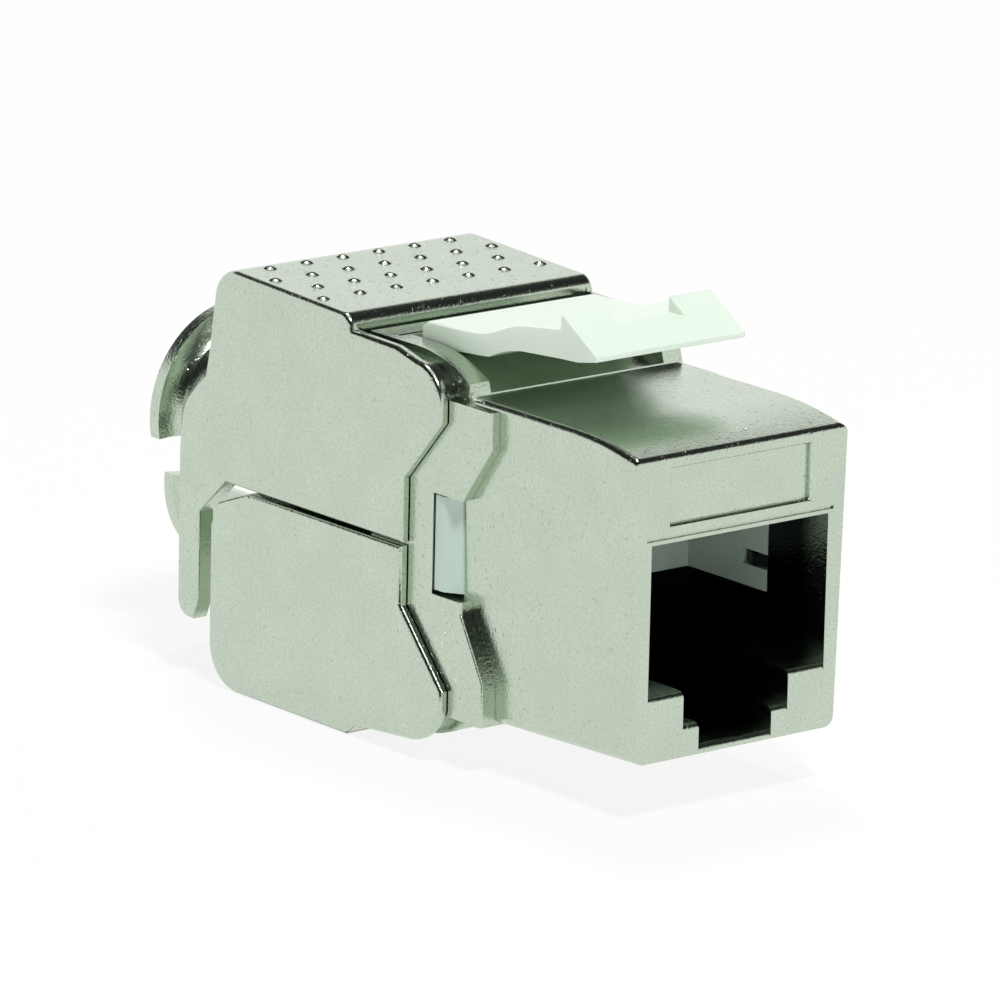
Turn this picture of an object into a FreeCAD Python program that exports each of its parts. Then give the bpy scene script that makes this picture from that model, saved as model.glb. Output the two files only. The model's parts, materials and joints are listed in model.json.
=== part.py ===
"""Tool-less shielded keystone jack, modelled as the pieces it comes apart into.

Millimetres. Every piece is drawn from two datums: the flat front of the nose (y = 0, with
+Y running to the rear) and the front bottom edge of the nose (z = 0). The placement of each
piece then moves the whole jack so that the origin lies under the middle of its bounding box.
"""
import math
import os

import FreeCAD
import Part
import Sketcher

DIMENSIONS = {
    # die-cast nose
    "nose_width": 14.5,
    "nose_height": 16.4,
    "nose_length": 11.4,
    "nose_draft": 0.42,
    "nose_rise": 0.65,
    "crown_start": 5.5,
    "crown_radius": 23.6,
    "edge_radius": 0.3,
    "crown_round": 0.4,
    "foot_round": 0.6,
    "ledge_round": 0.4,
    # plug opening, widths and heights of its three steps
    "port_width": 12.1,
    "port_top": 11.75,
    "port_ledge": 3.55,
    "latch_width": 7.2,
    "latch_floor": 1.7,
    "slot_width": 5.0,
    "slot_floor": 0.45,
    "port_depth": 11.2,
    "metal_depth": 4.7,
    # recessed panel above the opening
    "panel_width": 9.5,
    "panel_bottom": 12.7,
    "panel_height": 3.0,
    "panel_depth": 0.3,
    # raised chevron behind the nose, and the shell's block between the flaps
    "band_width": 15.7,
    "band_front": 11.15,
    "band_waist": 13.4,
    "cheek_end": 21.0,
    "block_end": 22.2,
    "deck_top": 18.95,
    "deck_start": 18.2,
    "deck_foot": 13.5,
    "deck_bottom": -2.15,
    "window_bottom": 5.95,
    "window_top": 11.5,
    "window_end": 15.8,
    # hinge axes of the two flaps
    "upper_hinge_y": 16.8,
    "upper_hinge_z": 16.4,
    "lower_hinge_y": 16.4,
    "lower_hinge_z": 0.2,
    "boss_radius": 1.5,
    "boss_length": 1.2,
    "hinge_gap": 0.05,
    "ear_radius": 1.95,
    "plate_radius": 2.1,
    # flaps
    "flap_width": 16.86,
    "flap_wall": 1.1,
    "flap_gap": 0.06,
    "split_height": 8.35,
    "split_gap": 0.2,
    "roof_start": 22.5,
    "roof_front": 19.9,
    "roof_rear": 20.3,
    "roof_inside": 18.7,
    "rear_wall": 35.0,
    "leg_front": 35.7,
    "leg_end": 37.5,
    "leg_relief": 0.1,
    "floor_bottom": -3.3,
    "floor_inside": -2.2,
    "floor_start": 22.0,
    "lower_rear": 34.6,
    # cable outlet
    "outlet_radius": 4.2,
    "collar_radius": 5.0,
    "flange_radius": 6.1,
    "flange_thickness": 0.8,
    "collar_end": 43.2,
    "upper_outlet_z": 9.6,
    "saddle_radius": 4.8,
    "saddle_flange": 5.5,
    "saddle_end": 42.6,
    "lower_outlet_z": 6.0,
    # dimples on the roof
    "dimple_pitch": 2.5,
    "dimple_row": 2.1,
    "dimple_last_row": 32.3,
    "dimple_radius": 0.46,
    "dimple_height": 0.15,
    "dimple_slope": 55.0,
    # latch clip
    "clip_rear_width": 11.5,
    "clip_front_width": 10.2,
    "clip_seat": 18.45,
    "clip_gap": 0.1,
    # insert, board and terminals
    "insert_width": 13.1,
    "insert_top": 15.5,
    "insert_end": 17.0,
    "fit_gap": 0.05,
    "board_top": 8.8,
    "board_thickness": 1.2,
    "board_width": 11.4,
    "board_front": 13.0,
    "board_end": 30.0,
    "contact_pitch": 1.02,
    "contact_width": 0.4,
    "wire_size": 0.36,
    "idc_pitch": 2.8,
    "idc_width": 12.0,
    "idc_front": 23.2,
    "idc_height": 5.4,
    "blade_thickness": 0.4,
    "blade_width": 2.2,
    "blade_height": 4.7,
    "manager_front": 30.1,
    "manager_end": 33.4,
}

CONTACTS = 8
WIRE_SLOTS = (-1.5, -0.5, 0.5, 1.5)


class Size:
    """A length together with the spreadsheet formula that gives it."""

    def __init__(self, value, formula):
        self.value = value
        self.formula = formula

    def __add__(self, other):
        other = size(other)
        return Size(self.value + other.value, f"({self.formula} + {other.formula})")

    def __radd__(self, other):
        return size(other) + self

    def __sub__(self, other):
        other = size(other)
        return Size(self.value - other.value, f"({self.formula} - {other.formula})")

    def __rsub__(self, other):
        return size(other) - self

    def __mul__(self, other):
        other = size(other)
        return Size(self.value * other.value, f"({self.formula} * {other.formula})")

    def __rmul__(self, other):
        return size(other) * self

    def __truediv__(self, other):
        other = size(other)
        return Size(self.value / other.value, f"({self.formula} / {other.formula})")

    def __neg__(self):
        return Size(-self.value, f"(0 - {self.formula})")


def size(number):
    """A plain number as a Size."""
    if isinstance(number, Size):
        return number
    return Size(float(number), f"({float(number)})")


def dim(alias):
    """The named cell of the spreadsheet."""
    return Size(DIMENSIONS[alias], f"Dimensions.{alias}")


# ---- document, sketches and features ----------------------------------------------------

def fill_sheet(doc):
    sheet = doc.addObject("Spreadsheet::Sheet", "Dimensions")
    for row, (alias, value) in enumerate(DIMENSIONS.items(), start=1):
        sheet.set(f"A{row}", alias)
        sheet.set(f"B{row}", str(value))
        sheet.setAlias(f"B{row}", alias)
    doc.recompute()


def new_body(doc, label):
    body = doc.addObject("PartDesign::Body", label)
    body.Label = label
    return body


def base_plane(body, role):
    return next(feature for feature in body.Origin.OriginFeatures if feature.Role == role)


def new_sketch(body, name, plane, shift=0.0, raise_by=0.0):
    """A sketch on a base plane of the body: shift moves it along the plane's normal."""
    sketch = body.newObject("Sketcher::SketchObject", name)
    sketch.AttachmentSupport = (base_plane(body, plane), [""])
    sketch.MapMode = "FlatFace"
    sketch.setExpression("AttachmentOffset.Base.z", size(shift).formula)
    sketch.setExpression("AttachmentOffset.Base.y", size(raise_by).formula)
    return sketch


def dimension(sketch, kind, *target, length):
    """One dimension of the sketch, driven from the spreadsheet."""
    length = size(length)
    index = sketch.addConstraint(Sketcher.Constraint(kind, *target, length.value))
    sketch.setExpression(f"Constraints[{index}]", length.formula)


def arc_between(start, end, radius, turn):
    """The short arc from start to end; turn is 1 anticlockwise and -1 clockwise."""
    chord = end - start
    middle = (start + end) * 0.5
    height = math.sqrt(max(radius ** 2 - chord.Length ** 2 / 4.0, 0.0))
    left = FreeCAD.Vector(-chord.y, chord.x, 0.0) / chord.Length
    centre = middle + left * height * turn
    circle = Part.Circle(centre, FreeCAD.Vector(0, 0, 1), radius)
    first, last = (start, end) if turn > 0 else (end, start)
    angles = [math.atan2(point.y - centre.y, point.x - centre.x) for point in (first, last)]
    if angles[1] <= angles[0]:
        angles[1] += 2.0 * math.pi
    return Part.ArcOfCircle(circle, *angles)


def draw_outline(sketch, corners):
    """A closed outline. A corner is (x, y), or (x, y, radius, turn) to leave it on an arc."""
    points = [FreeCAD.Vector(size(corner[0]).value, size(corner[1]).value, 0) for corner in corners]
    ends = []
    for index, corner in enumerate(corners):
        start = points[index]
        end = points[(index + 1) % len(corners)]
        if len(corner) == 2:
            geometry = sketch.addGeometry(Part.LineSegment(start, end))
            ends.append((geometry, 1, 2))
            continue
        radius, turn = size(corner[2]), corner[3]
        geometry = sketch.addGeometry(arc_between(start, end, radius.value, turn))
        if (end - start).Length < 1.99 * radius.value:
            dimension(sketch, "Radius", geometry, length=radius)
        else:
            dimension(sketch, "DistanceY", -1, 1, geometry, 3, length=corner[1])
        ends.append((geometry, 1, 2) if turn > 0 else (geometry, 2, 1))
    for index, corner in enumerate(corners):
        geometry, start_end, _ = ends[index]
        before, _, finish_end = ends[index - 1]
        sketch.addConstraint(Sketcher.Constraint("Coincident", before, finish_end, geometry, start_end))
        dimension(sketch, "DistanceX", -1, 1, geometry, start_end, length=corner[0])
        dimension(sketch, "DistanceY", -1, 1, geometry, start_end, length=corner[1])


def draw_box(sketch, left, right, bottom, top):
    draw_outline(sketch, [(left, bottom), (right, bottom), (right, top), (left, top)])


def draw_circle(sketch, x, y, radius):
    centre = FreeCAD.Vector(size(x).value, size(y).value, 0)
    geometry = sketch.addGeometry(Part.Circle(centre, FreeCAD.Vector(0, 0, 1), size(radius).value))
    dimension(sketch, "DistanceX", -1, 1, geometry, 3, length=x)
    dimension(sketch, "DistanceY", -1, 1, geometry, 3, length=y)
    dimension(sketch, "Radius", geometry, length=radius)


def extrude(body, kind, name, sketch, length, both_ways=False, backwards=False):
    """A Pad or a Pocket; both_ways centres its length on the sketch."""
    feature = body.newObject(f"PartDesign::{kind}", name)
    feature.Profile = sketch
    feature.SideType = "Symmetric" if both_ways else "One side"
    feature.Reversed = backwards
    feature.setExpression("Length", size(length).formula)
    sketch.Visibility = False
    return feature


def across(body, kind, name, width, *outlines):
    """A Pad or Pocket of side outlines, drawn in Y and Z and centred on the middle plane."""
    sketch = new_sketch(body, name + "_sketch", "YZ_Plane")
    for outline in outlines:
        draw_outline(sketch, outline)
    return extrude(body, kind, name, sketch, width, both_ways=True)


def lengthways(body, kind, name, start, length, *outlines):
    """A Pad or Pocket of front outlines, drawn in X and Z, that runs rearwards from start."""
    sketch = new_sketch(body, name + "_sketch", "XZ_Plane", -size(start))
    for outline in outlines:
        draw_outline(sketch, outline)
    return extrude(body, kind, name, sketch, length, backwards=(kind == "Pad"))


def mirror_sideways(body, feature):
    mirrored = body.newObject("PartDesign::Mirrored", feature.Name + "_mirrored")
    mirrored.Originals = [feature]
    mirrored.MirrorPlane = (base_plane(body, "YZ_Plane"), [""])
    body.Tip = mirrored
    return mirrored


def box_outline(left, right, bottom, top):
    return [(left, bottom), (right, bottom), (right, top), (left, top)]


def round_edges(body, name, radius, wanted):
    """Fillet the edges of the body so far for which wanted(edge) is true."""
    body.Document.recompute()
    base = body.Tip
    edges = [f"Edge{index}" for index, edge in enumerate(base.Shape.Edges, start=1) if wanted(edge)]
    fillet = body.newObject("PartDesign::Fillet", name)
    fillet.Base = (base, edges)
    fillet.setExpression("Radius", size(radius).formula)
    return fillet


def lies_at(edge, axis, value):
    """True if the whole edge lies in the plane where the axis has this value."""
    box = edge.BoundBox
    low, high = {"x": (box.XMin, box.XMax), "y": (box.YMin, box.YMax), "z": (box.ZMin, box.ZMax)}[axis]
    return abs(low - value) < 0.01 and abs(high - value) < 0.01


def side_edge(edge, width):
    """True for an edge in either of the two flat sides that are this width apart."""
    half = size(width).value / 2.0
    return lies_at(edge, "x", half) or lies_at(edge, "x", -half)


def lies_between(edge, front, rear):
    """True if the whole edge lies between two distances behind the nose's face."""
    box = edge.BoundBox
    return box.YMin > size(front).value - 0.01 and box.YMax < size(rear).value + 0.01


def place(body, x=0.0, y=0.0, z=0.0, turned_over=False):
    """Put a piece at its spot; turned_over rolls it half a turn about the Y axis."""
    if turned_over:
        body.Placement = FreeCAD.Placement(FreeCAD.Vector(), FreeCAD.Rotation(FreeCAD.Vector(0, 1, 0), 180))
    body.setExpression("Placement.Base.x", size(x).formula)
    body.setExpression("Placement.Base.y", (y - dim("collar_end") / 2).formula)
    body.setExpression("Placement.Base.z", (z - dim("floor_bottom")).formula)


# ---- front shell ------------------------------------------------------------------------

def port_outline():
    """The stepped plug opening: body of the plug, shoulders of its latch, and the latch."""
    half_port = dim("port_width") / 2
    half_latch = dim("latch_width") / 2
    half_slot = dim("slot_width") / 2
    right = [
        (half_slot, dim("slot_floor")),
        (half_slot, dim("latch_floor")),
        (half_latch, dim("latch_floor")),
        (half_latch, dim("port_ledge")),
        (half_port, dim("port_ledge")),
        (half_port, dim("port_top")),
    ]
    left = [(-x, z) for x, z in reversed(right)]
    return right + left


def build_front_shell(doc):
    body = new_body(doc, "front_shell")
    top = dim("nose_height") + dim("nose_rise")
    hinge_top = (dim("upper_hinge_y"), dim("upper_hinge_z"))
    hinge_low = (dim("lower_hinge_y"), dim("lower_hinge_z"))
    end = dim("block_end")

    # side view of the nose with its crowned top, and of the humped block behind it
    across(body, "Pad", "nose", dim("nose_width"), [
        (0, 0),
        (dim("deck_foot"), -0.5),
        (dim("deck_foot") + 0.2, -1.1, 10.2, 1),
        (dim("deck_start"), dim("deck_bottom")),
        (end - 0.9, dim("deck_bottom")),
        (end, -1.0),
        (end, dim("deck_top")),
        (dim("deck_start"), dim("deck_top"), 8.9, 1),
        (dim("deck_foot") + 0.2, dim("deck_top") - 1.22),
        (dim("deck_foot"), top),
        (dim("crown_start"), top, dim("crown_radius"), 1),
        (0, dim("nose_height")),
    ])
    half = dim("nose_width") / 2
    foot = half - dim("nose_draft")
    draft = [(foot - 0.02, -0.8), (half + 1, -0.8), (half + 1, top + 0.2), (half, top + 0.2)]
    lengthways(body, "Pocket", "side_draft", 0, end + 1, draft,
               [(-x, z) for x, z in reversed(draft)])
    round_edges(body, "crown_edges", dim("crown_round"), is_crown_edge)
    round_edges(body, "foot_edges", dim("foot_round"), is_foot_edge)

    # raised cheeks: chevron front edge, and an ear round each hinge axis
    ear = dim("ear_radius")
    across(body, "Pad", "cheeks", dim("band_width"), [
        (dim("band_front") + 0.35, -0.5),
        (hinge_low[0] - ear, -0.5),
        (hinge_low[0] - ear, hinge_low[1], ear, 1),
        (hinge_low[0], hinge_low[1] - ear),
        (dim("cheek_end"), hinge_low[1] - ear),
        (dim("cheek_end"), hinge_top[1] + ear),
        (hinge_top[0], hinge_top[1] + ear, ear, 1),
        (hinge_top[0] - ear, hinge_top[1]),
        (hinge_top[0] - ear, top - 0.3),
        (dim("band_front"), top - 0.3),
        (dim("band_front"), 14.7),
        (dim("band_waist"), 11.6),
        (dim("band_waist"), 5.2),
        (dim("band_front") + 0.35, 1.85),
    ])
    round_edges(body, "cheek_edges", 0.2, lambda edge: side_edge(edge, dim("band_width"))
                and lies_between(edge, 0, dim("band_waist")))

    # plug opening, room for the insert above and behind it, room for the board
    lengthways(body, "Pocket", "port", 0, dim("port_depth"), port_outline())
    insert_half = dim("insert_width") / 2 + dim("fit_gap")
    port_half = dim("port_width") / 2
    lengthways(body, "Pocket", "insert_front", 1.3, 5.0,
               box_outline(-port_half, port_half, dim("port_top") - 0.1, dim("insert_top") + 0.1))
    lengthways(body, "Pocket", "insert_room", dim("metal_depth"), 20.0,
               box_outline(-insert_half, insert_half, 6.3, dim("insert_top") + 0.1))
    lengthways(body, "Pocket", "board_room", dim("board_front"), 12.0,
               box_outline(-insert_half, insert_half, 2.0, 6.4))
    across(body, "Pocket", "side_windows", dim("band_width") + 1,
           box_outline(dim("band_waist") - 0.5, dim("window_end"), dim("window_bottom"), dim("window_top")))

    # recessed panel and the fine groove over the opening
    panel_top = dim("panel_bottom") + dim("panel_height")
    half_panel = dim("panel_width") / 2
    lengthways(body, "Pocket", "panel", 0, dim("panel_depth"),
               box_outline(-half_panel, half_panel, dim("panel_bottom"), panel_top))
    round_edges(body, "panel_edges", 0.2, is_panel_edge)
    lengthways(body, "Pocket", "mouth_groove", 0, 0.12,
               box_outline(-port_half - 0.35, port_half + 0.35, dim("port_top") + 0.2, dim("port_top") + 0.38))
    round_edges(body, "ledge_edges", dim("ledge_round"), is_ledge_front)

    # bearings of the two flaps
    bearings = new_sketch(body, "bearings_sketch", "YZ_Plane", dim("band_width") / 2)
    for centre in (hinge_top, hinge_low):
        draw_circle(bearings, *centre, dim("boss_radius") + dim("hinge_gap"))
    mirror_sideways(body, extrude(body, "Pocket", "bearings", bearings, dim("boss_length")))

    # fixed catch under the nose, seat and peg holes of the latch clip
    across(body, "Pad", "panel_catch", 7.0,
           [(5.0, -0.1), (8.2, -1.25), (8.6, -1.25), (8.6, 0.3), (5.0, 0.3)])
    across(body, "Pocket", "clip_seat", dim("clip_rear_width") + 0.4, [
        (dim("deck_foot") - 0.3, top),
        (dim("deck_foot") + 0.5, top + 0.2),
        (16.2, dim("clip_seat") - 0.25),
        (17.6, dim("clip_seat")),
        (20.3, dim("clip_seat")),
        (20.3, 20.0),
        (dim("deck_foot") - 0.3, 20.0),
    ])
    pegs = new_sketch(body, "peg_holes_sketch", "XY_Plane", dim("clip_seat"))
    for side in (-1, 1):
        draw_box(pegs, side * 3.6 - 1.0, side * 3.6 + 1.0, 17.5, 19.1)
    extrude(body, "Pocket", "peg_holes", pegs, 1.5)
    across(body, "Pocket", "deck_groove", dim("nose_width") - 1.2,
           box_outline(20.4, 20.65, dim("deck_top") - 0.25, 19.5))
    place(body)
    return body


def is_crown_edge(edge):
    """True for the nose's top front edge and for the two that run back to the hump."""
    across_front = lies_at(edge, "y", 0.0) and lies_at(edge, "z", DIMENSIONS["nose_height"])
    above = edge.BoundBox.ZMin > DIMENSIONS["nose_height"] - 0.01
    runs_back = edge.BoundBox.XLength < 0.1 and lies_between(edge, 0, dim("deck_foot"))
    return across_front or (above and runs_back)


def is_foot_edge(edge):
    """True for the two bottom edges that run back from the nose's face."""
    below = edge.BoundBox.ZMax < 0.01
    return below and edge.BoundBox.XLength < 0.1 and lies_between(edge, 0, dim("deck_foot"))


def is_panel_edge(edge):
    """True for the rim of the recessed panel."""
    bottom, height = DIMENSIONS["panel_bottom"], DIMENSIONS["panel_height"]
    box = edge.BoundBox
    return lies_at(edge, "y", 0.0) and box.ZMin > bottom - 0.01 and box.ZMax < bottom + height + 0.01


def is_ledge_front(edge):
    """True for the level front edges of the opening's ledges and of its floor."""
    levels = [DIMENSIONS[alias] for alias in ("slot_floor", "latch_floor", "port_ledge")]
    return lies_at(edge, "y", 0.0) and any(lies_at(edge, "z", level) for level in levels)


# ---- flaps ------------------------------------------------------------------------------

def add_bosses(body, y, z):
    """A round boss inside each side plate, which turns in the shell's bearing."""
    inner = dim("band_width") / 2 - dim("boss_length") + 0.1
    sketch = new_sketch(body, "bosses_sketch", "YZ_Plane", inner)
    draw_circle(sketch, y, z, dim("boss_radius"))
    reach = dim("band_width") / 2 + dim("flap_gap") - inner + 0.1
    mirror_sideways(body, extrude(body, "Pad", "bosses", sketch, reach))


def add_collar(body, centre, start, end, neck, flange, angle, side):
    """Part of a flanged tube round the cable outlet; side is 1 above its axis, -1 below."""
    sketch = new_sketch(body, "collar_sketch", "YZ_Plane", raise_by=centre)
    lip = end - dim("flange_thickness")
    profile = [
        (start, dim("outlet_radius")),
        (end, dim("outlet_radius")),
        (end, flange),
        (lip, flange),
        (lip - 0.2, neck + 0.45),
        (lip - 0.65, neck),
        (start, neck),
    ]
    if side < 0:
        profile = [(y, -r) for y, r in profile]
    draw_outline(sketch, profile)
    collar = body.newObject("PartDesign::Revolution", "collar")
    collar.Profile = sketch
    collar.ReferenceAxis = (sketch, ["H_Axis"])
    collar.Midplane = True
    collar.Angle = angle
    sketch.Visibility = False


def add_press_ribs(body, bottom, height):
    """Four ribs that push the wires down into the insulation-displacement slots."""
    sketch = new_sketch(body, "press_ribs_sketch", "XY_Plane", bottom)
    for slot in WIRE_SLOTS:
        x = dim("idc_pitch") * slot
        draw_box(sketch, x - 0.4, x + 0.4, dim("idc_front") + 0.6, dim("board_end") - 0.6)
    extrude(body, "Pad", "press_ribs", sketch, height)


def build_upper_flap(doc):
    body = new_body(doc, "upper_flap")
    hinge_y, hinge_z = dim("upper_hinge_y"), dim("upper_hinge_z")
    plate = dim("plate_radius")
    start, rear, leg = dim("roof_start"), dim("rear_wall"), dim("leg_end")
    split = dim("split_height")

    across(body, "Pad", "outer_form", dim("flap_width"), [
        (hinge_y + 1.05, split),
        (rear - 1.7, split),
        (dim("leg_front"), 6.2),
        (dim("leg_front"), 1.2),
        (dim("leg_front") + 0.45, 0.0),
        (leg - 1.0, 0.0, 1.0, 1),
        (leg, 1.0),
        (leg, 9.6),
        (leg - 0.2, 11.2, 3.0, 1),
        (leg - 1.2, 13.0),
        (rear + 0.25, 14.0),
        (rear - 0.05, 15.4),
        (rear - 0.5, 18.5, 1.9, 1),
        (rear - 2.5, dim("roof_rear")),
        (start + 0.8, dim("roof_front"), 0.8, 1),
        (start, dim("roof_front") - 0.55),
        (start - 0.1, dim("roof_front") - 0.85),
        (hinge_y + 1.8, dim("deck_top")),
        (hinge_y, hinge_z + plate, plate, 1),
        (hinge_y - plate, hinge_z),
        (hinge_y - plate, 15.5),
        (hinge_y + 1.05, 11.9),
    ])
    round_edges(body, "outer_edges", dim("edge_radius"), lambda edge: side_edge(edge, dim("flap_width")))

    # fork for the shell's cheeks, hollow for the wires, and the gap between the legs
    inner = dim("flap_width") - 2 * dim("flap_wall")
    across(body, "Pocket", "fork", dim("band_width") + 2 * dim("flap_gap"),
           box_outline(10, start, 5, 25))
    across(body, "Pocket", "hollow", inner, box_outline(start - 1, rear - 1, 5, dim("roof_inside")))
    across(body, "Pocket", "leg_gap", inner, [
        (30, -2), (40, -2), (40, 25), (rear, 25), (rear, split), (30, split),
    ])
    skin = dim("flap_width") / 2 - dim("leg_relief")
    lengthways(body, "Pocket", "leg_relief", 33.2, 6.0,
               box_outline(skin, skin + 1, -1, split - 0.15), box_outline(-skin - 1, -skin, -1, split - 0.15))
    add_collar(body, dim("upper_outlet_z"), rear - 0.5, dim("collar_end"),
               dim("collar_radius"), dim("flange_radius"), 200, 1)
    radius, centre = dim("outlet_radius"), dim("upper_outlet_z")
    lengthways(body, "Pocket", "outlet", rear - 1.5, 2.5,
               [(radius, split - 1), (radius, centre, radius, 1), (-radius, centre), (-radius, split - 1)])
    add_bosses(body, hinge_y, hinge_z)
    add_press_ribs(body, dim("board_top") + dim("idc_height") + 0.2,
                   dim("roof_inside") - dim("board_top") - dim("idc_height"))
    add_dimples(body)
    place(body)
    return body


def add_dimples(body):
    """Four staggered rows of low pips, eight-sided and tapered; the roof rises to the rear."""
    slope = (dim("roof_rear") - dim("roof_front")) / (dim("rear_wall") - dim("roof_start") - 3.3)
    sunk = 0.04
    for row in range(4):
        count = 6 + row % 2
        x = dim("dimple_pitch") * (-(count - 1) / 2.0)
        y = dim("dimple_last_row") - row * dim("dimple_row")
        roof = dim("roof_front") + (y - dim("roof_start") - 0.8) * slope
        sketch = new_sketch(body, f"pip_{row + 1}_sketch", "XY_Plane", roof - sunk)
        corners = []
        for corner in range(8):
            turn = math.radians(22.5 + 45.0 * corner)
            corners.append((x + dim("dimple_radius") * math.cos(turn), y + dim("dimple_radius") * math.sin(turn)))
        draw_outline(sketch, corners)
        pip = extrude(body, "Pad", f"pip_{row + 1}", sketch, dim("dimple_height") + sunk)
        pip.setExpression("TaperAngle", (-dim("dimple_slope")).formula)
        pattern = body.newObject("PartDesign::LinearPattern", f"pip_row_{row + 1}")
        pattern.Originals = [pip]
        pattern.Direction = (base_plane(body, "X_Axis"), [""])
        pattern.setExpression("Length", (dim("dimple_pitch") * (count - 1)).formula)
        pattern.Occurrences = count
        body.Tip = pattern


def build_lower_flap(doc):
    body = new_body(doc, "lower_flap")
    hinge_y, hinge_z = dim("lower_hinge_y"), dim("lower_hinge_z")
    plate = dim("plate_radius")
    rear, bottom, start = dim("lower_rear"), dim("floor_bottom"), dim("floor_start")
    top = dim("split_height") - dim("split_gap")

    across(body, "Pad", "outer_form", dim("flap_width"), [
        (hinge_y - plate, -0.2, 3.0, 1),
        (hinge_y + 0.55, -2.3),
        (start - 0.4, -2.65),
        (start + 0.4, bottom),
        (rear - 2.5, bottom, 2.5, 1),
        (rear, bottom + 2.5),
        (rear, 5.8),
        (rear - 0.6, 7.1),
        (rear - 3.4, top),
        (hinge_y + 1.5, top),
        (hinge_y + 1.5, 4.85),
        (hinge_y - plate, 0.9),
    ])
    round_edges(body, "outer_edges", dim("edge_radius"), lambda edge: side_edge(edge, dim("flap_width")))

    inner = dim("flap_width") - 2 * dim("flap_wall")
    across(body, "Pocket", "fork", dim("band_width") + 2 * dim("flap_gap"),
           box_outline(10, start, -6, 12))
    across(body, "Pocket", "hollow", inner, box_outline(start - 1, rear - 1, dim("floor_inside"), 12))
    add_collar(body, dim("lower_outlet_z"), rear - 0.5, dim("saddle_end"),
               dim("saddle_radius"), dim("saddle_flange"), 192, -1)
    radius, centre = dim("outlet_radius"), dim("lower_outlet_z")
    lengthways(body, "Pocket", "outlet", rear - 1.5, 2.5,
               [(-radius, centre, radius, 1), (radius, centre), (radius, top + 1), (-radius, top + 1)])
    add_bosses(body, hinge_y, hinge_z)
    low_end = dim("board_top") - dim("board_thickness") - dim("idc_height") - 0.2
    add_press_ribs(body, dim("floor_inside") - 0.2, low_end - dim("floor_inside") + 0.2)
    place(body)
    return body


# ---- latch clip -------------------------------------------------------------------------

def build_latch_clip(doc):
    body = new_body(doc, "latch_clip")
    base = dim("clip_seat") + dim("clip_gap")
    across(body, "Pad", "lever", dim("clip_rear_width"), [
        (6.0, 20.17),
        (7.5, 19.88),
        (11.3, 19.68, 6.0, -1),
        (14.2, 18.9),
        (16.4, 18.72),
        (17.6, base),
        (19.7, base),
        (19.7, 19.5),
        (19.2, 19.85),
        (15.0, 20.0, 6.0, -1),
        (13.4, 20.5, 7.0, 1),
        (11.2, 21.08),
        (8.9, 21.35),
        (8.9, 22.19),
        (6.0, 20.45),
    ])
    round_edges(body, "lever_edges", 0.12, lambda edge: side_edge(edge, dim("clip_rear_width"))
                and not lies_between(edge, 8.8, 9.0))
    rear, front = dim("clip_rear_width") / 2, dim("clip_front_width") / 2
    plan = new_sketch(body, "plan_taper_sketch", "XY_Plane", 18.0)
    taper = [(front, 4.0), (front + 2, 4.0), (rear + 2, 16.0), (rear, 16.0), (front, 9.0)]
    draw_outline(plan, taper)
    draw_outline(plan, [(-x, y) for x, y in reversed(taper)])
    extrude(body, "Pocket", "plan_taper", plan, 6.0, backwards=True)
    across(body, "Pocket", "lug_gap", 4.5, box_outline(5.0, 8.95, 21.38, 23.0))
    pegs = new_sketch(body, "pegs_sketch", "XY_Plane", base + 0.2)
    for side in (-1, 1):
        draw_box(pegs, side * 3.6 - 0.6, side * 3.6 + 0.6, 17.8, 18.6)
    extrude(body, "Pad", "pegs", pegs, 1.2, backwards=True)
    place(body)
    return body


# ---- insert, contacts and grounding springs ---------------------------------------------

def build_port_insert(doc):
    body = new_body(doc, "port_insert")
    top, end = dim("insert_top"), dim("insert_end")
    roof = dim("port_top") + dim("fit_gap")
    back = dim("port_depth")
    width, room = dim("insert_width"), dim("port_width")
    across(body, "Pad", "ceiling", room - 0.2, box_outline(1.4, end, roof, top))
    across(body, "Pad", "jaws", width, box_outline(dim("metal_depth") + 0.05, end, 6.4, top))
    across(body, "Pad", "window_tabs", dim("band_width") - 0.8,
           box_outline(dim("band_waist") - 0.4, dim("window_end") - 0.1,
                       dim("window_bottom") + 0.25, dim("window_top") - 0.1))
    across(body, "Pocket", "plug_room", room, box_outline(3.0, back, 5.0, roof))
    across(body, "Pocket", "board_slot", room, box_outline(back + 1.3, end + 1, 5.0, roof))
    across(body, "Pocket", "spring_slots", width + 1, box_outline(4.0, 6.8, 7.55, 8.4))
    half_slot = (dim("contact_width") + 0.12) / 2
    slots = []
    for index in range(CONTACTS):
        x = dim("contact_pitch") * (index - (CONTACTS - 1) / 2.0)
        slots.append(box_outline(x - half_slot, x + half_slot, 11.0, 13.3))
    lengthways(body, "Pocket", "comb", 3.0, 20.0, *slots)
    place(body)
    return body


def build_contact(doc, number):
    """One gold-plated spring wire: board, along the ceiling, round the bend, into the port."""
    body = new_body(doc, f"contact_{number}")
    board = dim("board_top")
    rear, thick = dim("insert_end") + 0.2, dim("wire_size")
    across(body, "Pad", "wire", dim("contact_width"), [
        (rear, board),
        (rear + thick, board),
        (rear + thick, 13.2),
        (4.0, 13.2, 0.6, 1),
        (3.4, 12.6),
        (10.6, 8.7),
        (10.77, 9.02),
        (4.15, 12.6),
        (4.3, 13.2 - thick),
        (rear, 13.2 - thick),
    ])
    place(body, x=dim("contact_pitch") * (number - 1 - (CONTACTS - 1) / 2.0))
    return body


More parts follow.
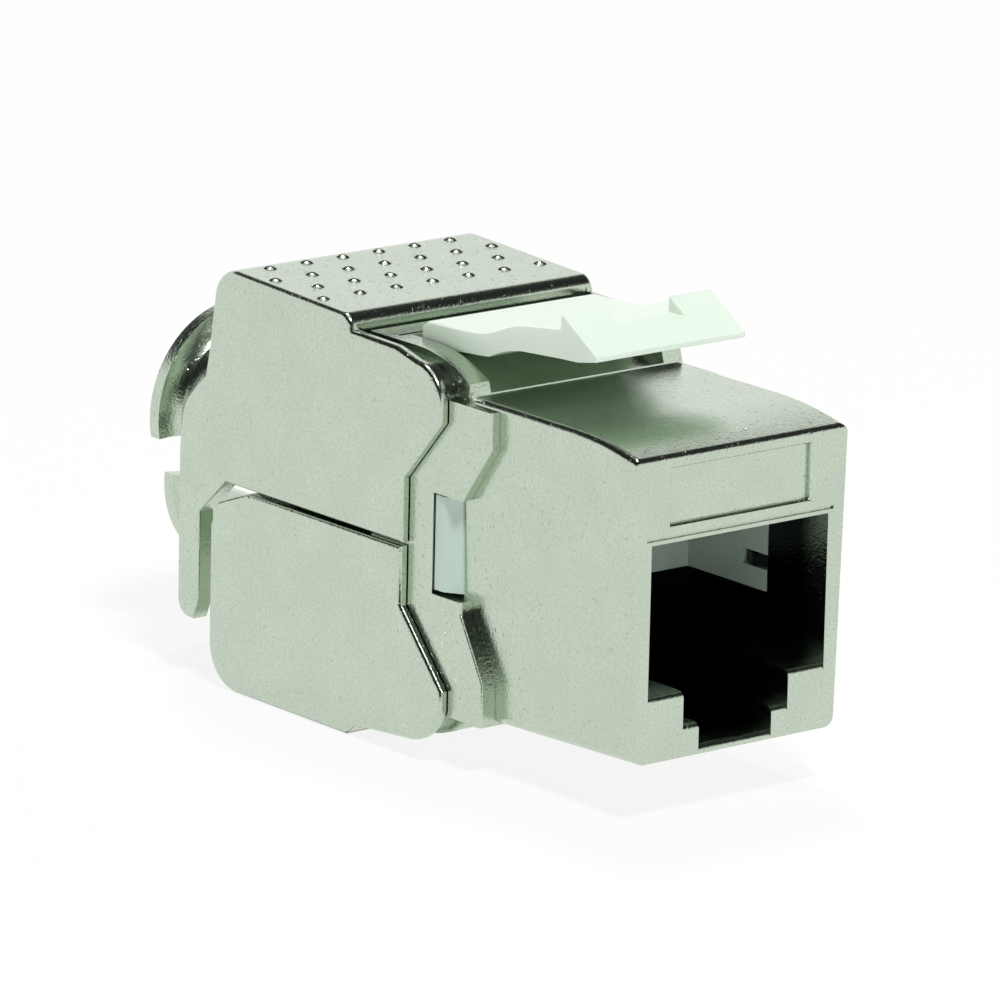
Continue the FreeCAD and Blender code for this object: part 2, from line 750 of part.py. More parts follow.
def build_ground_spring(doc, label, side):
    """A bowed leaf in the side of the port that touches the plug's shield."""
    body = new_body(doc, label)
    sketch = new_sketch(body, "leaf_sketch", "XY_Plane", 7.65)
    leaf = [(6.35, 4.85), (6.5, 4.85), (6.5, 4.95), (6.1, 5.8, 4.0, 1), (6.5, 6.65), (6.5, 6.72), (6.3, 6.72),
            (5.92, 5.8)]
    if side < 0:
        leaf = [(-x, y, *rest[:1], -rest[1]) if rest else (-x, y) for x, y, *rest in leaf]
    draw_outline(sketch, leaf)
    extrude(body, "Pad", "leaf", sketch, 0.65)
    place(body)
    return body


# ---- board, terminals and wire manager --------------------------------------------------

def build_circuit_board(doc):
    body = new_body(doc, "circuit_board")
    half = dim("board_width") / 2
    sketch = new_sketch(body, "board_sketch", "XY_Plane", dim("board_top") - dim("board_thickness"))
    draw_box(sketch, -half, half, dim("board_front"), dim("board_end"))
    extrude(body, "Pad", "board", sketch, dim("board_thickness"))
    place(body)
    return body


def blade_row(index):
    """Rearward place of a terminal within its block: neighbours are staggered."""
    return 2.0 + 2.8 * (index % 2)


def build_idc_block(doc, label, turned_over):
    """A plastic comb with four wire slots, each crossed by a pocket for its terminal."""
    body = new_body(doc, label)
    half, high = dim("idc_width") / 2, dim("idc_height")
    length = dim("board_end") - dim("idc_front")
    lengthways(body, "Pad", "block", 0, length, box_outline(-half, half, 0, high))
    slots = []
    for slot in WIRE_SLOTS:
        x = dim("idc_pitch") * slot
        slots.append(box_outline(x - 0.65, x + 0.65, high - 3.4, high + 1))
    lengthways(body, "Pocket", "wire_slots", 0, length, *slots)
    pockets = new_sketch(body, "blade_pockets_sketch", "XY_Plane", high)
    half_blade = dim("blade_width") / 2 + dim("fit_gap")
    half_thick = dim("blade_thickness") / 2 + dim("fit_gap")
    for index, slot in enumerate(WIRE_SLOTS):
        x, y = dim("idc_pitch") * slot, blade_row(index)
        draw_box(pockets, x - half_blade, x + half_blade, y - half_thick, y + half_thick)
    extrude(body, "Pocket", "blade_pockets", pockets, high)
    place_on_board(body, 0, 0, turned_over)
    return body


def place_on_board(body, x, y, turned_over):
    face = dim("board_top")
    if turned_over:
        face = face - dim("board_thickness")
    place(body, x=x, y=dim("idc_front") + y, z=face, turned_over=turned_over)


def build_idc_terminal(doc, number):
    """One slotted blade; numbers 1 to 4 stand on the board and 5 to 8 hang under it."""
    body = new_body(doc, f"idc_terminal_{number}")
    half, high = dim("blade_width") / 2, dim("blade_height")
    right = [(half, 0), (half, high - 0.5), (0.55, high), (0.16, high - 0.5), (0.16, 1.6)]
    left = [(-x, z) for x, z in reversed(right)]
    thick = dim("blade_thickness")
    lengthways(body, "Pad", "blade", -thick / 2, thick, right + left)
    index, under = (number - 1) % 4, number > 4
    x = dim("idc_pitch") * WIRE_SLOTS[index]
    place_on_board(body, -x if under else x, blade_row(index), under)
    return body


def build_wire_manager(doc):
    """The cap that spreads the eight wires to the upper and lower slots."""
    body = new_body(doc, "wire_manager")
    bottom = dim("board_top") - dim("board_thickness") - dim("idc_height")
    top = dim("board_top") + dim("idc_height")
    half = dim("idc_width") / 2
    start, length = dim("manager_front"), dim("manager_end") - dim("manager_front")
    lengthways(body, "Pad", "cap", start, length, box_outline(-half, half, bottom, top))
    round_edges(body, "cap_corners", 1.2,
                lambda edge: abs(edge.Length - length.value) < 0.01)
    channels = []
    for slot in WIRE_SLOTS:
        x = dim("idc_pitch") * slot
        channels.append(box_outline(x - 0.7, x + 0.7, top - 3.3, top + 1))
        channels.append(box_outline(x - 0.7, x + 0.7, bottom - 1, bottom + 3.3))
    lengthways(body, "Pocket", "channels", start, length, *channels)
    entry = new_sketch(body, "entry_sketch", "XZ_Plane", -start)
    draw_circle(entry, 0, (top + bottom) / 2, 2.2)
    extrude(body, "Pocket", "entry", entry, length)
    place(body)
    return body


# ---- assembly and export ----------------------------------------------------------------

def build_all(doc):
    fill_sheet(doc)
    pieces = [
        build_front_shell(doc),
        build_upper_flap(doc),
        build_lower_flap(doc),
        build_latch_clip(doc),
        build_port_insert(doc),
        build_circuit_board(doc),
        build_idc_block(doc, "idc_block_upper", False),
        build_idc_block(doc, "idc_block_lower", True),
        build_wire_manager(doc),
        build_ground_spring(doc, "ground_spring_left", -1),
        build_ground_spring(doc, "ground_spring_right", 1),
    ]
    pieces += [build_contact(doc, number) for number in range(1, CONTACTS + 1)]
    pieces += [build_idc_terminal(doc, number) for number in range(1, 9)]
    doc.recompute()
    return pieces


def export(doc, pieces):
    for feature in doc.Objects:
        if "Invalid" in feature.State or "Error" in feature.State:
            raise RuntimeError(f"{feature.Name} failed")
    for piece in pieces:
        if piece.Shape.isNull() or not piece.Shape.isValid() or len(piece.Shape.Solids) != 1:
            raise RuntimeError(f"{piece.Label} is not one valid solid")
        piece.Shape.exportStep(f"parts/{piece.Label}.step")


os.makedirs("parts", exist_ok=True)
document = FreeCAD.newDocument("keystone_jack")
export(document, build_all(document))
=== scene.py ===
import json
import math

import bmesh
import bpy
from mathutils import Matrix, Vector


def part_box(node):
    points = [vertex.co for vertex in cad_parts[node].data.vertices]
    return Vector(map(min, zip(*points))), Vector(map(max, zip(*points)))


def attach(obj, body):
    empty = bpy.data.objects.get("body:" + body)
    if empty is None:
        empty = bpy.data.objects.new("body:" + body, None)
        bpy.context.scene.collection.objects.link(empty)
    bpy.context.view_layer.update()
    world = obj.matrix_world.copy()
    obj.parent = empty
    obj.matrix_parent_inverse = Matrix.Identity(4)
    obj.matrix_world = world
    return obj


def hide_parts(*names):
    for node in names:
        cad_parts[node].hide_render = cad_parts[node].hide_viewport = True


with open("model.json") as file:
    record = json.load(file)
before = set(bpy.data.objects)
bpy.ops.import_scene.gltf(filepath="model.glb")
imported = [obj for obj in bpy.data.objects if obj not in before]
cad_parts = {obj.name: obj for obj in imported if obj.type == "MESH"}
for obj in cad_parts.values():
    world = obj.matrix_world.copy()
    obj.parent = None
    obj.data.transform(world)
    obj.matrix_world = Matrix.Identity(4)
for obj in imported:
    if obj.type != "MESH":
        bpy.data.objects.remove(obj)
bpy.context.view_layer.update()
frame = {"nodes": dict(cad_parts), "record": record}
print("frame loaded:", len(frame["nodes"]), "nodes")

mm = 0.001  # the scene is in metres, and the sizes below are written in millimetres
mixA, mixB, mixResult = 6, 7, 2  # the colour sockets of a Mix node


def linearColour(hexText):
    channels = [int(hexText[i:i + 2], 16) / 255 for i in (1, 3, 5)]
    return [c / 12.92 if c < 0.04045 else ((c + 0.055) / 1.055) ** 2.4 for c in channels] + [1.0]


def addNode(tree, kind, settings=None, inputs=None):
    node = tree.nodes.new(kind)
    for name, value in (settings or {}).items():
        setattr(node, name, value)
    for name, value in (inputs or {}).items():
        if isinstance(value, bpy.types.NodeSocket):
            tree.links.new(value, node.inputs[name])
        else:
            node.inputs[name].default_value = value
    return node


def newMaterial(name):
    material = bpy.data.materials.new(name)
    material.use_nodes = True
    tree = material.node_tree
    tree.nodes.clear()
    output = addNode(tree, "ShaderNodeOutputMaterial")
    shader = addNode(tree, "ShaderNodeBsdfPrincipled")
    tree.links.new(shader.outputs["BSDF"], output.inputs["Surface"])
    where = addNode(tree, "ShaderNodeTexCoord").outputs["Object"]
    return material, tree, shader, where


# Zinc die casting, barrel-plated with bright nickel: the plating is glossy but follows the
# grain that the die leaves, so flat faces look satin and every rounded edge glitters.
castNickel = {
    "colour": "#C9D8C5",
    "stain": "#C3CDBD",    # faint darker clouds where the plating is thin
    "pitColour": "#8E998D",
    "grainColour": "#9CA89A",
    "shadeInPort": "#262C2D",     # painted shade down the plug opening
    "roughness": 0.19,
    "grainMm": 0.15,       # the die's spark-eroded grain
    "grainDepthMm": 0.014,
    "grainShade": 0.30,    # how much the hollows of the grain darken the plating
    "grainNoise": (0.30, 0.62),     # the noise in a hollow and on a crest of the grain
    "pitMm": 0.30,         # scattered pits, about one per square millimetre
    "pitDepthMm": 0.008,
    "pitShade": 0.28,
    "pitNoise": (0.24, 0.33),       # the noise at a pit's floor and at its rim
    "seamMm": 0.30,        # painted shade in the seams reaches this far
    "seamShadeColour": "#2B312B",
    "seamShade": 0.70,
    "seamOpenness": (0.15, 0.60),   # full painted shade below the first, none above the second
    "seamSamples": 6,
    "waveMm": 2.6,         # slow unevenness of the cast faces
    "waveDepthMm": 0.012,
}
# Painted shade: inside this box, down the plug opening, the casting is painted dark.
portShadeBox = {"startMm": -21.6, "endMm": -19.3, "backMm": -4.0,
            "halfWidthMm": 6.3, "bottomMm": 3.7, "topMm": 15.15}


def makeCastNickel():
    look = castNickel
    material, tree, shader, where = newMaterial("bright nickel-plated zinc die casting")
    grain = addNode(tree, "ShaderNodeTexNoise", {}, {
        "Vector": where, "Scale": 1 / (look["grainMm"] * mm), "Detail": 2.0, "Roughness": 0.5})
    pits = addNode(tree, "ShaderNodeTexNoise", {}, {
        "Vector": where, "Scale": 1 / (look["pitMm"] * mm), "Detail": 1.0, "Roughness": 0.5})
    pitShape = addNode(tree, "ShaderNodeMapRange", {"interpolation_type": "SMOOTHSTEP"}, {
        "Value": pits.outputs["Fac"],
        "From Min": look["pitNoise"][0], "From Max": look["pitNoise"][1], "To Min": 1.0, "To Max": 0.0})
    wave = addNode(tree, "ShaderNodeTexNoise", {}, {
        "Vector": where, "Scale": 1 / (look["waveMm"] * mm), "Detail": 1.0})
    waveBump = addNode(tree, "ShaderNodeBump", {}, {
        "Strength": 1.0, "Distance": look["waveDepthMm"] * mm, "Height": wave.outputs["Fac"]})
    pitBump = addNode(tree, "ShaderNodeBump", {"invert": True}, {
        "Strength": 1.0, "Distance": look["pitDepthMm"] * mm,
        "Height": pitShape.outputs["Result"], "Normal": waveBump.outputs["Normal"]})
    grainBump = addNode(tree, "ShaderNodeBump", {}, {
        "Strength": 1.0, "Distance": look["grainDepthMm"] * mm,
        "Height": grain.outputs["Fac"], "Normal": pitBump.outputs["Normal"]})
    cloud = addNode(tree, "ShaderNodeMix", {"data_type": "RGBA"}, {
        "Factor": wave.outputs["Fac"],
        mixA: linearColour(look["colour"]), mixB: linearColour(look["stain"])})
    hollow = addNode(tree, "ShaderNodeMapRange", {}, {
        "Value": grain.outputs["Fac"],
        "From Min": look["grainNoise"][0], "From Max": look["grainNoise"][1],
        "To Min": look["grainShade"], "To Max": 0.0})
    grained = addNode(tree, "ShaderNodeMix", {"data_type": "RGBA"}, {
        "Factor": hollow.outputs["Result"],
        mixA: cloud.outputs[mixResult], mixB: linearColour(look["grainColour"])})
    pitDepth = addNode(tree, "ShaderNodeMath", {"operation": "MULTIPLY"}, {
        0: pitShape.outputs["Result"], 1: look["pitShade"]})
    pitted = addNode(tree, "ShaderNodeMix", {"data_type": "RGBA"}, {
        "Factor": pitDepth.outputs[0],
        mixA: grained.outputs[mixResult], mixB: linearColour(look["pitColour"])})
    # painted shade: the plating is painted darker in seams and hollows, where the occlusion test finds
    # nearby faces
    openness = addNode(tree, "ShaderNodeAmbientOcclusion", {"samples": look["seamSamples"]}, {
        "Distance": look["seamMm"] * mm})
    seam = addNode(tree, "ShaderNodeMapRange", {}, {
        "Value": openness.outputs["AO"],
        "From Min": look["seamOpenness"][0], "From Max": look["seamOpenness"][1],
        "To Min": look["seamShade"], "To Max": 0.0})
    seamShaded = addNode(tree, "ShaderNodeMix", {"data_type": "RGBA"}, {
        "Factor": seam.outputs["Result"],
        mixA: pitted.outputs[mixResult], mixB: linearColour(look["seamShadeColour"])})
    # painted shade: the plating is painted dark inside the box down the plug opening
    spot = addNode(tree, "ShaderNodeSeparateXYZ", {}, {0: where})
    deep = addNode(tree, "ShaderNodeMapRange", {"interpolation_type": "SMOOTHSTEP"}, {
        "Value": spot.outputs["Y"],
        "From Min": portShadeBox["startMm"] * mm, "From Max": portShadeBox["endMm"] * mm})
    ahead = addNode(tree, "ShaderNodeMath", {"operation": "LESS_THAN"}, {
        0: spot.outputs["Y"], 1: portShadeBox["backMm"] * mm})
    sideways = addNode(tree, "ShaderNodeMath", {"operation": "ABSOLUTE"}, {0: spot.outputs["X"]})
    within = addNode(tree, "ShaderNodeMath", {"operation": "LESS_THAN"}, {
        0: sideways.outputs[0], 1: portShadeBox["halfWidthMm"] * mm})
    under = addNode(tree, "ShaderNodeMath", {"operation": "LESS_THAN"}, {
        0: spot.outputs["Z"], 1: portShadeBox["topMm"] * mm})
    over = addNode(tree, "ShaderNodeMath", {"operation": "GREATER_THAN"}, {
        0: spot.outputs["Z"], 1: portShadeBox["bottomMm"] * mm})
    inside = deep.outputs["Result"]
    for limit in (ahead, within, under, over):
        inside = addNode(tree, "ShaderNodeMath", {"operation": "MULTIPLY"}, {
            0: inside, 1: limit.outputs[0]}).outputs[0]
    colour = addNode(tree, "ShaderNodeMix", {"data_type": "RGBA"}, {
        "Factor": inside, mixA: seamShaded.outputs[mixResult], mixB: linearColour(look["shadeInPort"])})
    tree.links.new(colour.outputs[mixResult], shader.inputs["Base Color"])
    tree.links.new(grainBump.outputs["Normal"], shader.inputs["Normal"])
    shader.inputs["Metallic"].default_value = 1.0
    shader.inputs["Roughness"].default_value = look["roughness"]
    return material


# Polycarbonate moulded in a polished tool: smooth, and light glows a little way into it.
polycarbonateIor = 1.585
mouldedClip = {"colour": "#EAFAE9", "roughness": 0.34, "flowMm": 3.0, "flowDepthMm": 0.010,
               "glow": 0.30, "glowMm": 0.5}
mouldedInsert = {"colour": "#CCDFD5", "roughness": 0.28, "flowMm": 2.2, "flowDepthMm": 0.006,
                 "glow": 0.10, "glowMm": 0.4}
mouldedBlock = {"colour": "#D9DCD6", "roughness": 0.40, "flowMm": 2.0, "flowDepthMm": 0.006,
                "glow": 0.10, "glowMm": 0.4}


def makeMoulded(name, look):
    material, tree, shader, where = newMaterial(name)
    flow = addNode(tree, "ShaderNodeTexNoise", {}, {
        "Vector": where, "Scale": 1 / (look["flowMm"] * mm), "Detail": 2.0})
    bump = addNode(tree, "ShaderNodeBump", {}, {
        "Strength": 1.0, "Distance": look["flowDepthMm"] * mm, "Height": flow.outputs["Fac"]})
    shader.inputs["Base Color"].default_value = linearColour(look["colour"])
    shader.inputs["Roughness"].default_value = look["roughness"]
    shader.inputs["IOR"].default_value = polycarbonateIor
    shader.inputs["Subsurface Weight"].default_value = look["glow"]
    shader.inputs["Subsurface Radius"].default_value = (1.0, 1.0, 1.0)
    shader.inputs["Subsurface Scale"].default_value = look["glowMm"] * mm
    tree.links.new(bump.outputs["Normal"], shader.inputs["Normal"])
    return material


# Phosphor bronze wire with a thin coat of gold, drawn, so it shines with fine lines along it.
goldWire = {"colour": "#E3B65C", "roughness": 0.22, "lineMm": 0.05}
# Tinned phosphor bronze strip, stamped, with a soft sheen.
tinnedStrip = {"colour": "#BDBDB6", "roughness": 0.38, "lineMm": 0.08}
# Spring steel strip, painted near black to stand for the shade in the slot it sits in.
springPaintedShade = {"colour": "#34373A", "roughness": 0.45, "lineMm": 0.08}
# Fine lines run along every strip, and vary its sheen.
drawnLines = {"stretch": (1.0, 0.05, 0.05), "leastRough": 0.8, "mostRough": 1.25}


def makeMetalStrip(name, look):
    material, tree, shader, where = newMaterial(name)
    stretched = addNode(tree, "ShaderNodeMapping", {}, {
        "Vector": where, "Scale": drawnLines["stretch"]})
    lines = addNode(tree, "ShaderNodeTexNoise", {}, {
        "Vector": stretched.outputs["Vector"], "Scale": 1 / (look["lineMm"] * mm), "Detail": 1.0})
    rough = addNode(tree, "ShaderNodeMapRange", {}, {
        "Value": lines.outputs["Fac"],
        "To Min": look["roughness"] * drawnLines["leastRough"],
        "To Max": look["roughness"] * drawnLines["mostRough"]})
    tree.links.new(rough.outputs["Result"], shader.inputs["Roughness"])
    shader.inputs["Base Color"].default_value = linearColour(look["colour"])
    shader.inputs["Metallic"].default_value = 1.0
    return material


# Glass-fibre board under green solder mask, with the weave just showing through.
solderMask = {"colour": "#1E5A33", "light": "#2C7042", "roughness": 0.35, "weaveMm": 0.45}


def makeSolderMask():
    look = solderMask
    material, tree, shader, where = newMaterial("glass-fibre board under solder mask")
    weave = addNode(tree, "ShaderNodeTexChecker", {}, {
        "Vector": where, "Scale": 1 / (look["weaveMm"] * mm),
        "Color1": linearColour(look["colour"]), "Color2": linearColour(look["light"])})
    tree.links.new(weave.outputs["Color"], shader.inputs["Base Color"])
    shader.inputs["Roughness"].default_value = look["roughness"]
    return material


castMetal = makeCastNickel()
clipPlastic = makeMoulded("white moulded polycarbonate", mouldedClip)
insertPlastic = makeMoulded("cool white moulded polycarbonate", mouldedInsert)
blockPlastic = makeMoulded("natural moulded polycarbonate", mouldedBlock)
goldMetal = makeMetalStrip("gold-plated phosphor bronze wire", goldWire)
stripMetal = makeMetalStrip("tinned phosphor bronze strip", tinnedStrip)
springShadedMetal = makeMetalStrip("spring steel strip painted dark as shade", springPaintedShade)
boardMaterial = makeSolderMask()
print("materials made")


def finishFor(node):
    if node in ("front_shell", "upper_flap", "lower_flap"):
        return castMetal
    if node == "latch_clip":
        return clipPlastic
    if node == "port_insert":
        return insertPlastic
    if node == "circuit_board":
        return boardMaterial
    if node.startswith("contact_"):
        return goldMetal
    if node.startswith("idc_terminal_"):
        return stripMetal
    # the ground springs get the strip that is painted dark as shade
    if node.startswith("ground_spring_"):
        return springShadedMetal
    return blockPlastic


bodyOf = {node: body
          for body, members in frame["record"]["behaviour"]["bodies"].items() for node in members}
# Edges sharper than sharpDeg stay crisp, and faces within flatDeg of each other become one.
shading = {"sharpDeg": 38.0, "mergeMm": 0.0005, "flatDeg": 0.3, "weight": 100}
# The insert's tab in each side window: level behind the fold, and sloping in to its front edge.
windowTab = {"insideMm": 6.5, "outsideMm": 7.4, "oldFrontMm": -8.6, "frontMm": -7.5, "foldMm": -6.65,
             "frontOutMm": 7.2, "rearOutMm": 7.76, "nearMm": 0.01}
# The roof's cast pips: four staggered rows of six and seven, each pip the cap of a ball.
roofPips = {"rows": 4, "fewest": 6, "pitchMm": 2.5, "rowMm": 2.1, "lastRowMm": 10.7,
            "heightMm": 0.15, "roundMm": 0.70, "rootMm": 0.05, "slope": 0.0435,
            "around": 20, "upwards": 16}
# The plain pips under them: how far round each place they reach, and how far down they go.
plainPips = {"reachMm": 0.5, "aboveMm": 0.03, "sinkMm": 0.12}


def pipPlaces():
    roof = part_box("upper_flap")[1][2] - roofPips["heightMm"] * mm
    for row in range(roofPips["rows"]):
        count = roofPips["fewest"] + row % 2
        back = row * roofPips["rowMm"] * mm
        for number in range(count):
            yield Vector((roofPips["pitchMm"] * mm * (number - (count - 1) / 2),
                          roofPips["lastRowMm"] * mm - back, roof - back * roofPips["slope"]))


def withEdges(faces):
    # the faces with their edges and corners, in the faces' own order
    edges = dict.fromkeys(e for f in faces for e in f.edges)
    corners = dict.fromkeys(v for f in faces for v in f.verts)
    return [*corners, *edges, *faces]


def shapeWindowTabs(work):
    tab = windowTab
    faces = [f for f in work.faces if all(abs(v.co.x) > tab["insideMm"] * mm for v in f.verts)]
    bmesh.ops.bisect_plane(work, geom=withEdges(faces),
                           plane_co=(0, tab["foldMm"] * mm, 0), plane_no=(0, 1, 0))
    for vert in work.verts:
        side = math.copysign(mm, vert.co.x)
        onFront = abs(vert.co.y - tab["oldFrontMm"] * mm) < tab["nearMm"] * mm
        if abs(vert.co.x) > tab["outsideMm"] * mm:
            vert.co.x = side * (tab["frontOutMm"] if onFront else tab["rearOutMm"])
        if onFront and abs(vert.co.x) > tab["insideMm"] * mm:
            vert.co.y = tab["frontMm"] * mm


def sinkPips(work):
    # the plain pips go below the round ones that cover them
    places = list(pipPlaces())
    for vert in work.verts:
        for place in places:
            across = math.hypot(vert.co.x - place.x, vert.co.y - place.y)
            above = vert.co.z > place.z + plainPips["aboveMm"] * mm
            if across < plainPips["reachMm"] * mm and above:
                vert.co.z -= plainPips["sinkMm"] * mm


def placePiece(name, mesh, node):
    mesh.shade_smooth()
    mesh.set_sharp_from_angle(angle=math.radians(shading["sharpDeg"]))
    piece = bpy.data.objects.new(name, mesh)
    bpy.context.scene.collection.objects.link(piece)
    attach(piece, bodyOf[node])
    return piece


def dressNode(node):
    # a merged copy of the CAD solid, so that its rounded edges shade as rounds
    mesh = frame["nodes"][node].data.copy()
    work = bmesh.new()
    work.from_mesh(mesh)
    bmesh.ops.remove_doubles(work, verts=work.verts, dist=shading["mergeMm"] * mm)
    bmesh.ops.dissolve_limit(work, angle_limit=math.radians(shading["flatDeg"]),
                             verts=work.verts, edges=work.edges)
    if node == "port_insert":
        shapeWindowTabs(work)
    if node == "upper_flap":
        sinkPips(work)
    work.to_mesh(mesh)
    work.free()
    if "custom_normal" in mesh.attributes:
        mesh.attributes.remove(mesh.attributes["custom_normal"])
    mesh.materials.clear()
    mesh.materials.append(finishFor(node))
    piece = placePiece(node + "_dressed", mesh, node)
    weighted = piece.modifiers.new("weighted normals", "WEIGHTED_NORMAL")
    weighted.keep_sharp = True
    weighted.weight = shading["weight"]
    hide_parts(node)


for nodeName in frame["nodes"]:
    dressNode(nodeName)
print("nodes dressed")


def makeRoofPips():
    work = bmesh.new()
    radius, height = roofPips["roundMm"] * mm, roofPips["heightMm"] * mm
    for place in pipPlaces():
        ball = bmesh.ops.create_uvsphere(work, u_segments=roofPips["around"],
                                         v_segments=roofPips["upwards"], radius=radius)["verts"]
        centre = place - Vector((0, 0, radius - height))
        bmesh.ops.translate(work, vec=centre, verts=ball)
        faces = list(dict.fromkeys(f for v in ball for f in v.link_faces))
        bmesh.ops.bisect_plane(work, geom=withEdges(faces),
                               plane_co=place - Vector((0, 0, roofPips["rootMm"] * mm)),
                               plane_no=(0, 0, -1), clear_outer=True)
    bmesh.ops.holes_fill(work, edges=[e for e in work.edges if e.is_boundary])
    mesh = bpy.data.meshes.new("roof_pips")
    work.to_mesh(mesh)
    work.free()
    mesh.materials.append(castMetal)
    placePiece("roof_pips", mesh, "upper_flap")


# A thin sill fills the front of each window, so that the nose's side runs on to the tab.
windowSill = {"frontMm": -8.72, "backMm": -7.45, "bottomMm": 9.23, "topMm": 14.82,
              "insideMm": 6.5, "lowOutMm": 6.975, "highOutMm": 7.11}


def makeWindowSills():
    sill = windowSill
    work = bmesh.new()
    for side in (-1, 1):
        corners = bmesh.ops.create_cube(work, size=1.0)["verts"]
        for vert in corners:
            high = vert.co.z > 0
            out = sill["highOutMm"] if high else sill["lowOutMm"]
            vert.co = Vector((side * (out if vert.co.x > 0 else sill["insideMm"]),
                              sill["backMm"] if vert.co.y > 0 else sill["frontMm"],
                              sill["topMm"] if high else sill["bottomMm"])) * mm
    bmesh.ops.recalc_face_normals(work, faces=work.faces)
    mesh = bpy.data.meshes.new("window_sills")
    work.to_mesh(mesh)
    work.free()
    mesh.materials.append(castMetal)
    placePiece("window_sills", mesh, "front_shell")


makeRoofPips()
makeWindowSills()
print("pips and sills made")

# Bright metal shows what stands round it: pale walls, a dark gap above them and a pale ceiling.
studio = {
    "floorSizeM": 4.0,
    "floorColour": "#FCFDFB",
    "floorGlow": 0.86,      # how much of the floor is seen as plain white; the rest takes shadow
    "wallSine": 0.36,           # the white walls end near this sine of elevation,
    "wallRise": (0.15, 0.12),   # higher at the right and behind, lower at the left and in front
    "wallFade": 0.10,
    "gap": 0.012,           # the light left above the walls
    "ceilingSine": 0.88,
    "ceilingFade": 0.07,
    "ceiling": 0.80,
    "cardTowards": (-0.62, -0.71, 0.33),    # a round black card at the front left
    "cardCosines": (0.915, 0.965),          # where its soft edge starts and where it is full dark
}
lamps = {   # placed in metres
    "front": {"place": (-0.13, -0.39, 0.69), "size": 0.12, "watts": 3.6},
    "rear": {"place": (0.16, 0.23, 0.74), "size": 0.12, "watts": 1.5},
}
lampAim = (0, 0, 0.012)     # the middle of the jack


def makeFloor():
    mesh = bpy.data.meshes.new("floor")
    work = bmesh.new()
    bmesh.ops.create_grid(work, x_segments=1, y_segments=1, size=studio["floorSizeM"] / 2)
    work.to_mesh(mesh)
    work.free()
    floor = bpy.data.objects.new("floor", mesh)
    bpy.context.scene.collection.objects.link(floor)
    material = bpy.data.materials.new("white paper sweep")
    material.use_nodes = True
    tree = material.node_tree
    tree.nodes.clear()
    rays = addNode(tree, "ShaderNodeLightPath")
    seen = addNode(tree, "ShaderNodeMath", {"operation": "MAXIMUM"}, {
        0: rays.outputs["Is Camera Ray"], 1: rays.outputs["Is Glossy Ray"]})
    seenAny = addNode(tree, "ShaderNodeMath", {"operation": "MAXIMUM"}, {
        0: seen.outputs[0], 1: rays.outputs["Is Transmission Ray"]})
    share = addNode(tree, "ShaderNodeMath", {"operation": "MULTIPLY"}, {
        0: seenAny.outputs[0], 1: studio["floorGlow"]})
    paper = addNode(tree, "ShaderNodeBsdfDiffuse", {}, {"Color": linearColour(studio["floorColour"])})
    glow = addNode(tree, "ShaderNodeEmission", {}, {"Color": (1, 1, 1, 1), "Strength": 1.0})
    mixed = addNode(tree, "ShaderNodeMixShader", {}, {
        0: share.outputs[0], 1: paper.outputs[0], 2: glow.outputs[0]})
    addNode(tree, "ShaderNodeOutputMaterial", {}, {"Surface": mixed.outputs[0]})
    mesh.materials.append(material)


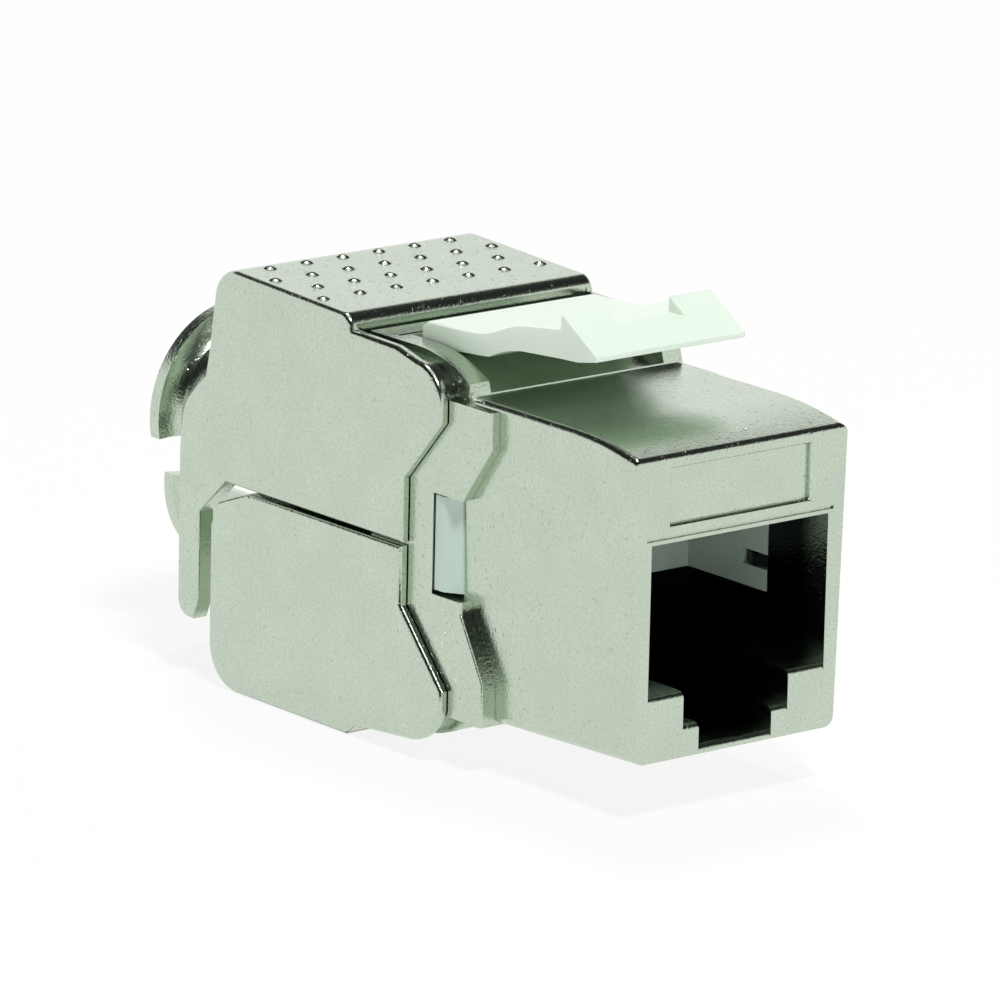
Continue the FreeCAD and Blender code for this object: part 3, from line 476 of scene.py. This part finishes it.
def makeSurround():
    world = bpy.data.worlds.new("studio surround")
    bpy.context.scene.world = world
    world.use_nodes = True
    tree = world.node_tree
    tree.nodes.clear()
    direction = addNode(tree, "ShaderNodeTexCoord").outputs["Generated"]
    split = addNode(tree, "ShaderNodeSeparateXYZ", {}, {0: direction})
    height = addNode(tree, "ShaderNodeVectorMath", {"operation": "DOT_PRODUCT"}, {
        0: direction, 1: (-studio["wallRise"][0], -studio["wallRise"][1], 1.0)})
    walls = addNode(tree, "ShaderNodeMapRange", {"interpolation_type": "SMOOTHSTEP"}, {
        "Value": height.outputs["Value"],
        "From Min": studio["wallSine"],
        "From Max": studio["wallSine"] + studio["wallFade"],
        "To Min": 1.0, "To Max": studio["gap"]})
    ceiling = addNode(tree, "ShaderNodeMapRange", {"interpolation_type": "SMOOTHSTEP"}, {
        "Value": split.outputs["Z"],
        "From Min": studio["ceilingSine"],
        "From Max": studio["ceilingSine"] + studio["ceilingFade"],
        "To Min": 0.0, "To Max": studio["ceiling"]})
    level = addNode(tree, "ShaderNodeMath", {"operation": "MAXIMUM"}, {
        0: walls.outputs["Result"], 1: ceiling.outputs["Result"]})
    nearCard = addNode(tree, "ShaderNodeVectorMath", {"operation": "DOT_PRODUCT"}, {
        0: direction, 1: studio["cardTowards"]})
    clear = addNode(tree, "ShaderNodeMapRange", {"interpolation_type": "SMOOTHSTEP"}, {
        "Value": nearCard.outputs["Value"],
        "From Min": studio["cardCosines"][0], "From Max": studio["cardCosines"][1],
        "To Min": 1.0, "To Max": studio["gap"]})
    carded = addNode(tree, "ShaderNodeMath", {"operation": "MULTIPLY"}, {
        0: level.outputs[0], 1: clear.outputs["Result"]})
    rays = addNode(tree, "ShaderNodeLightPath")
    strength = addNode(tree, "ShaderNodeMath", {"operation": "MAXIMUM"}, {
        0: carded.outputs[0], 1: rays.outputs["Is Camera Ray"]})
    light = addNode(tree, "ShaderNodeBackground", {}, {
        "Color": (1, 1, 1, 1), "Strength": strength.outputs[0]})
    addNode(tree, "ShaderNodeOutputWorld", {}, {"Surface": light.outputs[0]})


def makeLamps():
    for name, lamp in lamps.items():
        data = bpy.data.lights.new(name, "AREA")
        data.shape = "DISK"
        data.size = lamp["size"]
        data.energy = lamp["watts"]
        holder = bpy.data.objects.new(name, data)
        holder.location = lamp["place"]
        towards = Vector(lampAim) - holder.location
        holder.rotation_euler = towards.to_track_quat("-Z", "Y").to_euler()
        bpy.context.scene.collection.objects.link(holder)


viewpoint = {
    "azimuthDeg": -39.36,     # from the front, towards the left
    "elevationDeg": 14.60,
    "rollDeg": 1.29,
    "distanceMm": 445.1,
    "targetMm": (-8.065, -11.6, 15.67),
    "lensMm": 306.0,
    "sensorMm": 36.0,
    "clipStartMm": 10.0,
}


def makeCamera():
    look = viewpoint
    azimuth, elevation, roll = (
        math.radians(look[name]) for name in ("azimuthDeg", "elevationDeg", "rollDeg"))
    back = Vector((math.sin(azimuth) * math.cos(elevation),
                   -math.cos(azimuth) * math.cos(elevation), math.sin(elevation)))
    right = Vector((math.cos(azimuth), math.sin(azimuth), 0))
    up = back.cross(right)
    turnedRight = math.cos(roll) * right + math.sin(roll) * up
    turnedUp = -math.sin(roll) * right + math.cos(roll) * up
    place = Vector(look["targetMm"]) * mm + back * look["distanceMm"] * mm
    data = bpy.data.cameras.new("camera")
    data.sensor_width = look["sensorMm"]
    data.lens = look["lensMm"]
    data.clip_start = look["clipStartMm"] * mm
    holder = bpy.data.objects.new("camera", data)
    holder.matrix_world = Matrix.Translation(place) @ Matrix(
        (turnedRight, turnedUp, back)).transposed().to_4x4()
    bpy.context.scene.collection.objects.link(holder)
    bpy.context.scene.camera = holder


makeFloor()
makeSurround()
makeLamps()
makeCamera()
bpy.context.scene.view_settings.view_transform = "Standard"
print("studio ready")
